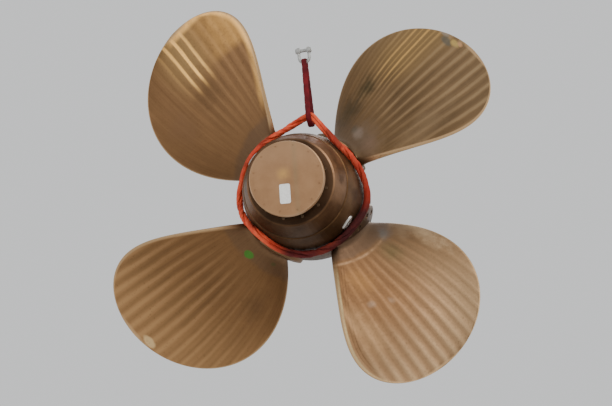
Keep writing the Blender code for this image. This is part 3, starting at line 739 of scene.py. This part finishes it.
for number, (angle, looks) in enumerate(zip(BLADE_ANGLES, blade_looks), 1):
    spindle = (Matrix.Translation((0.0, -SPINDLE_SETBACK, 0.0))
               @ Matrix.Rotation(radians(90 - angle), 4, 'Y'))
    bronze = blade_finish(f"blade_bronze_{number}", **looks)
    body = f"blade_{number}"
    wing = show(f"blade_wing_{number}", wing_mesh.copy(), bronze, body, spindle)
    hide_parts(body)
    show(f"blade_palm_{number}", palm_mesh.copy(), bronze, body, spindle)
    show(f"palm_screws_{number}", heads_mesh.copy(), screw_bronze, body, spindle)

# Hub cap: the aft part of the hub, a turned bronze casting with a narrower neck behind it. It is
# held to the hub body by socket screws sunk in its aft shoulder.
CAP_START = 1.1853
CAP_NOSE = 1.3653
CAP_SCREW_CIRCLE = 0.288
CAP_SCREWS = 12
CAP_HEAD = (0.0125, 0.008, 0.0035)


def cap_finish():
    material, place = start_finish("cap_bronze")
    back = -1.0 * place.axis(1)
    cloud = place.grain(6.0, 5.0)
    speck = place.grain(42.0, 6.0, 0.6)
    smear = place.along(3.0, 22.0, 3.0).grain(1.0, 5.0)
    tool = back.waves(800.0)
    bronze = cloud.rise(0.3, 0.7).tint((0.105, 0.051, 0.024), (0.23, 0.122, 0.061))
    streaked = (smear.rise(0.5, 0.72) * 0.5).tint(bronze, (0.05, 0.024, 0.012))
    joint = back.hump(CAP_START + 0.003, 0.012)
    dark = (joint * 0.8).tint(streaked, (0.022, 0.013, 0.008))
    # Painted highlight: a lighter band on the cap's upper right side, where the key light falls on its
    # curve.
    painted_lit_band = place.axis(0).rise(0.12, 0.34) * place.axis(2).rise(-0.22, 0.02) * cloud.rise(0.25, 0.55)
    wear_and_painted_light = (painted_lit_band * (0.6 + 0.3 * place.axis(2).rise(0.05, 0.25))).tint(dark, (0.35, 0.195, 0.107))
    # Painted shade: the cap's colour darkens towards the bottom, less so on the right.
    painted_underside_shade = (1.0 - place.axis(2).rise(-0.4, -0.12)) * (0.8 - 0.3 * place.axis(0).rise(0.05, 0.3))
    with_underside_shade = painted_underside_shade.tint(wear_and_painted_light, (0.026, 0.012, 0.005))
    # Painted shade: the nose face and neck in the recess behind the cover are darkened.
    groove = back.rise(CAP_NOSE - 0.006, CAP_NOSE + 0.004)
    colour = (groove * 0.88).tint(with_underside_shade, (0.03, 0.018, 0.012))
    rough = 0.34 + 0.26 * speck
    return end_finish(material, colour, rough, 0.95, tool * 0.4 + speck * 0.6, 0.0007)


paint_over("hub_cap", cap_finish())
face_aft = Matrix.Rotation(radians(90), 4, 'X')
cap_heads = bmesh.new()
for place in circle_places(CAP_SCREWS, 0.5, CAP_SCREW_CIRCLE, -CAP_NOSE, face_aft):
    socket_screw(cap_heads, place, *CAP_HEAD)
show("cap_screws", close_mesh(cap_heads, "cap_screws"), screw_bronze, "hub")

# End cover: a machined bronze disc on the neck, paler than the rest because it was cleaned, held by
# a ring of countersunk socket screws. A small blank plate of pale sheet is fixed below its middle.
COVER_START = 1.4706
COVER_END = 1.5256
COVER_RADIUS = 0.295
COVER_CHAMFER = 0.008
COVER_FACE = -COVER_END + 0.0025
COVER_SCREW_CIRCLE = 0.262
COVER_SCREWS = 12
COVER_HOLE = (0.0079, 0.015)
COVER_HEAD = (0.0076, 0.0158, 0.0032)
COVER_HEAD_SINK = 0.016
PLATE_PLACE = (-0.018, -COVER_END + 0.0024, -0.12)
PLATE_SIZE = (0.084, 0.152)
PLATE_THICKNESS = 0.0022
PLATE_CORNER = 0.014


def cover_finish():
    material, place = start_finish("cover_bronze")
    radius = place.off_shaft()
    turning = radius.waves(1100.0)
    cloud = place.grain(4.0, 4.0)
    mottle = place.grain(11.0, 5.0, 0.6)
    run = place.along(9.0, 9.0, 1.6).grain(1.0, 5.0)
    speck = place.grain(70.0, 6.0)
    bronze = (cloud * 0.5 + mottle * 0.5).rise(0.3, 0.7).tint((0.335, 0.177, 0.084), (0.42, 0.234, 0.115))
    streaked = (run.rise(0.52, 0.72) * 0.25).tint(bronze, (0.26, 0.135, 0.066))
    side = place.axis(0)
    height = place.axis(2)
    green = (side.hump(0.075, 0.035) * run.rise(0.35, 0.6) * 0.3).tint(streaked, (0.27, 0.22, 0.12))
    warm = (height.hump(0.035, 0.075) * side.hump(-0.022, 0.075) * mottle.rise(0.2, 0.55)).tint(
        green, (0.56, 0.315, 0.105))
    pale = (height.rise(-0.02, 0.24) * 0.35).tint(warm, (0.47, 0.285, 0.16))
    rim = (radius.rise(COVER_RADIUS - 0.012, COVER_RADIUS - 0.004) * 0.3).tint(pale, (0.5, 0.34, 0.2))
    return end_finish(material, rim, 0.36 + 0.2 * speck, 0.62, turning * 0.4 + speck * 0.6, 0.0004)


def rounded_plate(width, height, thick, corner, steps=6):
    """A thin plate in the XZ plane whose back lies at y = 0."""
    outline = []
    for x, z, start in ((1, 1, 0), (-1, 1, 90), (-1, -1, 180), (1, -1, 270)):
        for i in range(steps + 1):
            a = radians(start + 90 * i / steps)
            outline.append((x * (width / 2 - corner) + corner * cos(a),
                            z * (height / 2 - corner) + corner * sin(a)))
    bm = bmesh.new()
    join_and_end(bm, [[bm.verts.new((x * (1 - shrink / width * 2), y, z * (1 - shrink / height * 2)))
                       for x, z in outline]
                      for y, shrink in ((0.0, 0.0), (-thick * 0.7, 0.0), (-thick, thick * 0.3))])
    return bm


cover_solid = turn_on_shaft([
    (COVER_RADIUS - COVER_CHAMFER, -COVER_START),
    (COVER_RADIUS, -COVER_START - COVER_CHAMFER),
    (COVER_RADIUS, -COVER_END + 0.012),
    (COVER_RADIUS - 0.003, -COVER_END + 0.0055),
    (COVER_RADIUS - COVER_CHAMFER, COVER_FACE),
    (0.02, COVER_FACE),
])
cover_places = circle_places(COVER_SCREWS, 0.5, COVER_SCREW_CIRCLE, COVER_FACE, face_aft)
cover_mesh = drill(cover_solid, [(place, *COVER_HOLE) for place in cover_places])
cover_bronze = cover_finish()
cover = show("cover_disc", cover_mesh, cover_bronze, "hub")
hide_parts("end_cover")
cover_heads = bmesh.new()
for place in cover_places:
    socket_screw(cover_heads, place @ Matrix.Translation((0.0, 0.0, -COVER_HEAD_SINK)), *COVER_HEAD)
show("cover_screws", close_mesh(cover_heads, "cover_screws"), cover_bronze, "hub")
plate = close_mesh(rounded_plate(*PLATE_SIZE, PLATE_THICKNESS, PLATE_CORNER), "blank_plate")
plate_white = speckled_finish("plate_white", 90.0, 4.0, (0.8, 0.79, 0.75), (0.92, 0.92, 0.89),
                              0.5, 0.0, 0.0002, full=0.75, rougher=0.2)
show("blank_plate", plate, plate_white, "hub", Matrix.Translation(PLATE_PLACE))

# Plugs: oval stainless plugs let into the hub behind each blade, worn bright, each with a blind hole
# for the tool that turns it.


def plug_finish():
    material, place = start_finish("plug_steel")
    cloud = place.grain(30.0, 5.0)
    scratch = place.along(1.0, 9.0, 1.0).grain(90.0, 3.0)
    steel = cloud.rise(0.3, 0.7).tint((0.42, 0.4, 0.37), (0.66, 0.64, 0.61))
    grubby = (place.grain(55.0, 5.0).rise(0.55, 0.7) * 0.5).tint(steel, (0.2, 0.13, 0.08))
    return end_finish(material, grubby, 0.22 + 0.25 * scratch, 0.9, scratch, 0.0003)


plug_steel = plug_finish()
for number in range(1, 5):
    paint_over(f"hub_plug_{number}", plug_steel)

# Sling: an endless round sling of polyester yarn in a woven orange sleeve. It is choked round the
# hub just aft of the blades, and its two strands rise from the choke to the shackle, coloured darker
# as painted shade.
BELT_WIDTH = 0.07
BELT_THICKNESS = 0.058
BELT_SEAT = 0.0018
BELT_AFT = 0.345
BELT_DIP = 0.095
BELT_DIP_ANGLE = radians(-12.0)
BELT_DIP_SPREAD = radians(19.0)
BELT_RISE = 0.16
BELT_RISE_ANGLE = radians(44.0)
BELT_RISE_SPREAD = radians(27.0)
CHOKE_AFT = 0.42
CHOKE_SIDE = radians(12.5)
CHOKE_HEIGHT = 0.574
CHOKE_RADIUS = 0.04
BELT_STEPS = 420
CHOKE_STEPS = 60
FREE_STEP = 0.01
ON_CHOKE = 1.0 + 1e-9  # the first place of the belt that counts as on the choke
BELT_ROUND = 26
BELT_CLOTH = 0.13  # metres round one strand's sleeve
BELT_FOLDS = [(0.6, 0.2, 0.34), (2.7, 0.14, 0.26), (4.4, 0.18, 0.34)]  # angle, depth, width
STRAND_APART = 0.42  # a share of half the belt, as a strand's own half width and half height are
STRAND_HALVES = (0.56, 0.8)
LEG_WIDTH = 0.044
LEG_THICKNESS = 0.012
LEG_SLACK = 0.0145
LEG_SEAT = 0.0006
LEG_LENGTH = 0.45
LEG_LEAN = radians(-1.5)
LEG_STEPS = 150
LEG_LOW_STEPS = 40
LEG_HIGH_STEPS = 24
LEG_ROUND = 28
LEG_CLOTH = 0.08
LEG_FOLDS = [(0.4, 0.24, 0.3), (2.9, 0.2, 0.26), (4.6, 0.22, 0.3)]
BOW_RADIUS = 0.042
BAR_RADIUS = 0.012


def swell_at(angle, centre, spread):
    """1 at this angle and at the one opposite, fading to 0 between them."""
    off = (angle - centre + pi / 2) % pi - pi / 2
    return exp(-(off / spread) ** 2)


def belt_station(angle):
    """Metres aft from the spindles to the belt's middle."""
    rise = BELT_RISE * swell_at(angle, BELT_RISE_ANGLE, BELT_RISE_SPREAD)
    return BELT_AFT + rise - BELT_DIP * swell_at(angle, BELT_DIP_ANGLE, BELT_DIP_SPREAD)


def pulley_lean(big, small, distance):
    """Where a belt leaves two pulleys, as an angle from the line through their centres."""
    return acos((big - small) / distance)


def belt_point(place, side, layer):
    """A point of the belt: place runs 0 to 1 round the hub and 1 to 2 over the choke, side -1 to 1
    across its width, layer 0 on the hub to 1 outside."""
    small = CHOKE_RADIUS + (layer - 0.5) * BELT_THICKNESS
    start = barrel(BELT_AFT + side * BELT_WIDTH / 2) + BELT_SEAT + layer * BELT_THICKNESS
    lean = pulley_lean(start, small, CHOKE_HEIGHT)
    if place <= 1.0:
        angle = pi / 2 + lean + (tau - 2 * lean) * place
        aft = belt_station(angle - CHOKE_SIDE) + side * BELT_WIDTH / 2
        radius = barrel(aft) + BELT_SEAT + layer * BELT_THICKNESS
        return Vector((radius * cos(angle), -aft, radius * sin(angle)))
    angle = pi / 2 - lean + 2 * lean * (place - 1.0)
    return Vector((small * cos(angle), -CHOKE_AFT - side * BELT_WIDTH / 2,
                   CHOKE_HEIGHT + small * sin(angle)))


def fold_reach(a, twist, folds):
    """How far out the sleeve's cloth stands at this angle: pulled in where it is folded."""
    fold = 0.0
    for turn, depth, width in folds:
        off = (a - twist - turn + pi) % tau - pi
        fold += depth * exp(-(off / width) ** 2)
    return 1.0 - fold


def single_outline(count, twist, folds):
    """One flattened strand as (side, layer) pairs."""
    outline = []
    for a in round_turn(count):
        reach = fold_reach(a, twist, folds)
        side = reach * copysign(abs(cos(a)) ** 0.75, cos(a))
        level = reach * copysign(abs(sin(a)) ** 0.85, sin(a))
        outline.append((side, 0.5 + 0.5 * level))
    return outline


def paired_outline(which):
    """One of the two strands that lie together and wind round each other."""
    def outline(count, twist, folds):
        points = []
        for a in round_turn(count):
            reach = fold_reach(a, 1.7 * twist + which, folds)
            apart = which * STRAND_APART + STRAND_HALVES[0] * reach * cos(a)
            level = STRAND_HALVES[1] * reach * sin(a)
            side = apart * cos(twist) - level * sin(twist)
            points.append((side, 0.5 + 0.5 * (apart * sin(twist) + level * cos(twist))))
        return points
    return outline


def twists_at(shares, turns, uneven, start=0.0):
    """How far a strand has wound at these shares of its length, in so many turns, a little unevenly."""
    return [tau * turns * share + uneven * sin(tau * 4 * share + start) for share in shares]


def sleeve(bm, slices, twists, outline, count, folds, width):
    """A closed sleeve along a loop; its map is in metres along and round it."""
    rings = [[bm.verts.new(points(side, layer)) for side, layer in outline(count, twist, folds)]
             for points, twist in zip(slices, twists)]
    centres = [points(0.0, 0.5) for points in slices]
    runs = [0.0]
    for first, second in zip(centres, centres[1:] + centres[:1]):
        runs.append(runs[-1] + (second - first).length)
    uv = bm.loops.layers.uv.verify()
    for i, first in enumerate(rings):
        second = rings[(i + 1) % len(rings)]
        for j in range(count):
            k = (j + 1) % count
            face = bm.faces.new((first[j], first[k], second[k], second[j]))
            near = j * width / count
            far = (j + 1) * width / count
            places = ((runs[i], near), (runs[i], far), (runs[i + 1], far), (runs[i + 1], near))
            for corner, place in zip(face.loops, places):
                corner[uv].uv = place


def sling_finish(name, bright, deep, soil, soil_low, soil_high, shaded=0.0):
    """Woven polyester: a fine twill, dark in patches where it is greasy; the shaded share is how far
    painted shade darkens its lower and starboard parts to maroon."""
    material, place = start_finish(name)
    cloth = place.node("ShaderNodeUVMap")
    along = cloth.axis(0)
    across = cloth.axis(1)
    weft = (along * 1500.0 + across * 900.0).apply('SINE') * 0.5 + 0.5
    weave = across.waves(2400.0) * weft
    rib = across.waves(330.0)
    cloud = place.grain(13.0, 5.0)
    grime = place.grain(5.0, 5.0).rise(soil_low, soil_high)
    dyed = cloud.rise(0.3, 0.7).tint(deep, bright)
    woven = ((1.0 - weave) * 0.35).tint(dyed, deep)
    if shaded:
        side = place.axis(0)
        height = place.axis(2)
        # Painted shade: the starboard side, the lower starboard part and the bottom are darkened to
        # maroon.
        painted_shade_low_starboard = side.rise(0.1, 0.32) * (1.0 - height.rise(-0.24, -0.02)) * (0.8 + 0.4 * cloud)
        painted_shade_starboard = side.rise(0.3, 0.48) * (1.0 - height.rise(0.08, 0.34)) * 0.8
        painted_underside_shade = (1.0 - height.rise(-0.5, -0.38)) * side.rise(-0.3, -0.12) * (0.75 + 0.4 * cloud)
        woven = (painted_shade_starboard * shaded).tint(woven, (0.26, 0.02, 0.011))
        woven = (painted_underside_shade * shaded).cap().tint(woven, (0.085, 0.009, 0.009))
        woven = (painted_shade_low_starboard * shaded).cap().tint(woven, (0.045, 0.006, 0.006))
    soiled = (grime * 0.75).tint(woven, soil)
    material.node_tree.nodes["Principled BSDF"].inputs["Specular IOR Level"].default_value = 0.2
    return end_finish(material, soiled, 0.78 + 0.15 * weave, 0.0, weave * 0.4 + rib * 0.3 + cloud * 0.3,
                      0.0012)


sling_orange = sling_finish("sling_orange", (0.95, 0.15, 0.06), (0.58, 0.05, 0.022),
                            (0.16, 0.02, 0.012), 0.52, 0.68, shaded=1.0)
# Painted shade: the strands get a darker copy of the sling's colours.
sling_red = sling_finish("sling_red", (0.21, 0.013, 0.018), (0.1, 0.006, 0.01), (0.045, 0.006, 0.008),
                         0.42, 0.66)
free_run = (belt_point(ON_CHOKE, 0.0, 0.5) - belt_point(1.0, 0.0, 0.5)).length
free_steps = int(free_run / FREE_STEP)


def belt_slice(place):
    return lambda side, layer: belt_point(place, side, layer)


def free_slices(first, second):
    """Slices between two places of the belt, where it runs straight from the hub to the choke or back."""
    def slice_at(share):
        return lambda side, layer: (belt_point(first, side, layer) * (1.0 - share)
                                    + belt_point(second, side, layer) * share)

    return [slice_at(i / free_steps) for i in range(1, free_steps)]


belt_slices = [belt_slice(i / BELT_STEPS) for i in range(BELT_STEPS + 1)]
belt_slices += free_slices(1.0, ON_CHOKE)
belt_slices += [belt_slice(max(1.0 + i / CHOKE_STEPS, ON_CHOKE)) for i in range(CHOKE_STEPS + 1)]
belt_slices += free_slices(2.0, 0.0)
belt_shares = [i / len(belt_slices) for i in range(len(belt_slices))]
belt_twists = twists_at(belt_shares, turns=5, uneven=1.5, start=0.7)
belt_cloth = bmesh.new()
for which in (-1, 1):
    sleeve(belt_cloth, belt_slices, belt_twists, paired_outline(which), BELT_ROUND, BELT_FOLDS, BELT_CLOTH)
belt_mesh = close_mesh(belt_cloth, "sling_round", 80.0)
belt_frame = Matrix.Translation((0.0, -SPINDLE_SETBACK, 0.0)) @ Matrix.Rotation(CHOKE_SIDE, 4, 'Y')
belt = show("sling_round", belt_mesh, sling_orange, "hub", belt_frame)
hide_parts("sling_belt")


def belt_depth(x):
    """Metres from the middle of the belt's turn at the choke down to its inner face, this far aside."""
    tilt = CHOKE_SIDE - LEG_LEAN
    small = CHOKE_RADIUS - BELT_THICKNESS / 2
    slope = pulley_lean(barrel(BELT_AFT - BELT_WIDTH / 2) + BELT_SEAT, small, CHOKE_HEIGHT) + tilt
    beside = x + CHOKE_RADIUS * sin(tilt)
    return CHOKE_RADIUS * cos(tilt) - (small - beside * sin(slope)) / cos(slope)


def leg_slices():
    """Slices of the endless strand of the legs, round the belt at the choke and round the shackle's bow,
    and each slice's share of its length."""
    half = LEG_WIDTH / 2
    low = hypot(BELT_WIDTH / 2, belt_depth(half)) + LEG_SLACK
    high = BOW_RADIUS - sqrt((BOW_RADIUS - BAR_RADIUS) ** 2 - half ** 2) + LEG_SEAT
    lean = pulley_lean(low, high, LEG_LENGTH)
    rising = pi / 2 - lean
    falling = pi / 2 + lean
    straight = sqrt(LEG_LENGTH ** 2 - (low - high) ** 2)
    corners = [(low, 0.0, falling - tau), (low, 0.0, rising), (high, LEG_LENGTH, rising),
               (high, LEG_LENGTH, falling), (low, 0.0, falling)]
    lengths = (low * (tau - 2 * lean), straight, high * 2 * lean, straight)
    steps = (LEG_LOW_STEPS, LEG_STEPS, LEG_HIGH_STEPS, LEG_STEPS)

    def slice_at(radius, level, angle):
        def point(side, layer):
            reach = radius + layer * LEG_THICKNESS
            return Vector((-side * half, reach * cos(angle), level + reach * sin(angle)))
        return point

    slices = []
    runs = []
    run = 0.0
    for first, second, length, count in zip(corners, corners[1:], lengths, steps):
        for i in range(count):
            slices.append(slice_at(*[a + (b - a) * i / count for a, b in zip(first, second)]))
            runs.append(run + length * i / count)
        run += length
    return slices, [place / run for place in runs]


choke_reach = CHOKE_HEIGHT + CHOKE_RADIUS
leg_frame = (Matrix.Translation((choke_reach * sin(CHOKE_SIDE), -SPINDLE_SETBACK - CHOKE_AFT,
                                 choke_reach * cos(CHOKE_SIDE)))
             @ Matrix.Rotation(LEG_LEAN, 4, 'Y'))
leg_pieces, leg_shares = leg_slices()
leg_twists = twists_at(leg_shares, turns=6, uneven=0.8)
leg_cloth = bmesh.new()
sleeve(leg_cloth, leg_pieces, leg_twists, single_outline, LEG_ROUND, LEG_FOLDS, LEG_CLOTH)
leg_mesh = close_mesh(leg_cloth, "sling_strands", 80.0)
leg = show("sling_strands", leg_mesh, sling_red, "hub", leg_frame)
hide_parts("sling_leg")

# Shackle: a forged and galvanised bow shackle, its zinc gone dull and scuffed. Its bolt passes through
# both eyes and is held by a nut.
BOW_LEG = 0.06
BOW_STEPS = 56
EYE_RADIUS = 0.027
EYE_LENGTH = 0.029
EYE_ROUNDING = 0.006
PIN_RADIUS = 0.014
PIN_END = (0.001, 0.0015)  # its chamfer along and across
PIN_HEAD_RADIUS = 0.021
PIN_HEAD_LENGTH = 0.01
NUT_LENGTH = 0.008
HEXAGON_BEVEL = 0.0015
HEXAGON_CROWN = 0.96
SHACKLE_ROUND = 48


def zinc_finish():
    material, place = start_finish("shackle_zinc")
    spangle = place.node("ShaderNodeTexVoronoi", {"Vector": place, "Scale": 160.0})
    cloud = place.grain(40.0, 5.0)
    zinc = cloud.rise(0.3, 0.7).tint((0.34, 0.34, 0.33), (0.52, 0.52, 0.5))
    rusty = (place.grain(85.0, 6.0).rise(0.6, 0.72) * 0.7).tint(zinc, (0.22, 0.1, 0.045))
    return end_finish(material, rusty, 0.42 + 0.25 * cloud, 0.7, spangle * 0.5 + cloud * 0.5, 0.0004)


def turn_on_pin(bm, profile):
    """A closed solid along the shackle's pin from (x, radius, corners): corners 1 makes a hexagon."""
    rings = []
    for x, radius, corners in profile:
        ring = []
        for a in round_turn(SHACKLE_ROUND):
            hexagon = cos(pi / 6) / cos(a % (pi / 3) - pi / 6)
            reach = radius * (1.0 + corners * (hexagon - 1.0))
            ring.append(bm.verts.new((x, reach * cos(a), BOW_LEG + reach * sin(a))))
        rings.append(ring)
    join_and_end(bm, rings)


def shackle_forging():
    """The bent bar with an eye at each end."""
    bm = bmesh.new()
    rings = []
    bend = [(pi + pi * i / BOW_STEPS, 0.0) for i in range(BOW_STEPS + 1)]
    for angle, rise in [(pi, BOW_LEG)] + bend + [(tau, BOW_LEG)]:
        out = Vector((cos(angle), 0.0, sin(angle)))
        middle = out * BOW_RADIUS + Vector((0.0, 0.0, rise))
        about = [out * cos(a) + Vector((0.0, sin(a), 0.0)) for a in round_turn(SHACKLE_ROUND)]
        rings.append([bm.verts.new(middle + BAR_RADIUS * reach) for reach in about])
    join_and_end(bm, rings)
    rounded = []
    for i in range(5):
        a = radians(22.5 * i)
        rounded.append((EYE_LENGTH / 2 - EYE_ROUNDING * (1.0 - cos(a)),
                        EYE_RADIUS - EYE_ROUNDING * (1.0 - sin(a))))
    for middle in (-BOW_RADIUS, BOW_RADIUS):
        turn_on_pin(bm, [(middle - x, radius, 0.0) for x, radius in rounded]
                    + [(middle + x, radius, 0.0) for x, radius in reversed(rounded)])
    return bm


def shackle_bolt():
    """The bolt with its hexagon head at one end and its nut at the other."""
    bm = bmesh.new()
    face = BOW_RADIUS + EYE_LENGTH / 2 + SEAT_GAP
    tip = face + PIN_HEAD_LENGTH
    nut = face + NUT_LENGTH
    crown = PIN_HEAD_RADIUS * cos(pi / 6) * HEXAGON_CROWN
    turn_on_pin(bm, [
        (-tip, crown, 0.0), (-tip + HEXAGON_BEVEL, PIN_HEAD_RADIUS, 1.0), (-face, PIN_HEAD_RADIUS, 1.0),
        (-face, PIN_RADIUS, 0.0), (face, PIN_RADIUS, 0.0), (face, PIN_HEAD_RADIUS, 1.0),
        (nut - HEXAGON_BEVEL, PIN_HEAD_RADIUS, 1.0), (nut, crown, 0.0), (nut, PIN_RADIUS, 0.0),
        (tip - PIN_END[0], PIN_RADIUS, 0.0), (tip, PIN_RADIUS - PIN_END[1], 0.0),
    ])
    return bm


shackle_zinc = zinc_finish()
shackle_frame = leg_frame @ Matrix.Translation((0.0, 0.0, LEG_LENGTH + BOW_RADIUS))
for name, made, node in (("shackle_forging", shackle_forging(), "shackle_bow"),
                         ("shackle_bolt", shackle_bolt(), "shackle_pin")):
    piece = show(name, close_mesh(made, name), shackle_zinc, "hub", shackle_frame)
    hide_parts(node)
